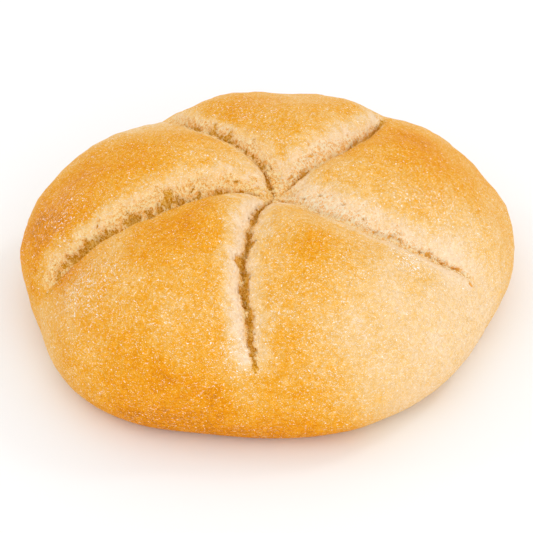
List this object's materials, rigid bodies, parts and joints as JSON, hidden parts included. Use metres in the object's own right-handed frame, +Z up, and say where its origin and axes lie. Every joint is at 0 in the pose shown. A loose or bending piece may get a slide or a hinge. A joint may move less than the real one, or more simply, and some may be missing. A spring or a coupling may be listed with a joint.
{
  "type": "bread roll",
  "caption": "Star-cut wheat bread roll: an oval golden dome that curved cuts from the crown part into puffy lobes, flat underneath.",
  "frame": {"origin": "middle of the bounding box at the flat underside", "axes": "+Z up from the underside to the crown, +X along the roll's longer way, -Y towards the front cut's end"},
  "size_m": [0.106, 0.0998, 0.0357],
  "materials": {
    "crust": "baked wheat crust, golden, softly shiny"
  },
  "bodies": {
    "root": {"roll": "crust"}
  },
  "joints": []
}
